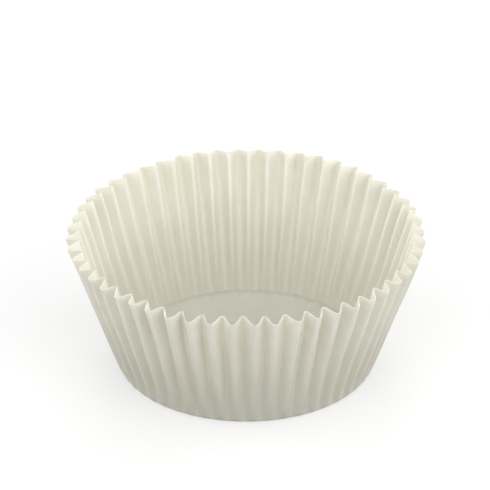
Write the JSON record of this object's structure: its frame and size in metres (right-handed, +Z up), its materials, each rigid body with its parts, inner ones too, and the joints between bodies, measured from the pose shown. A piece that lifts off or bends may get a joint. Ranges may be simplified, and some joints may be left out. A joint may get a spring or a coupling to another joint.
{
  "type": "cupcake liner",
  "caption": "Open fluted paper cup with a flat round base and a pleated wall that flares up to a scalloped mouth, for lining one hollow of a muffin pan.",
  "frame": {"origin": "centre of the underside of the flat base, on the cup's own axis", "axes": "+Z up along the cup's axis, from the base to the mouth; an outward ridge lies on +X, and another on -Y, where the picture's camera stands to within half a flute"},
  "size_m": [0.0706, 0.0706, 0.0281],
  "materials": {
    "baking_paper": "matte"
  },
  "bodies": {
    "root": {"cupcake_liner": "baking_paper"}
  },
  "joints": []
}
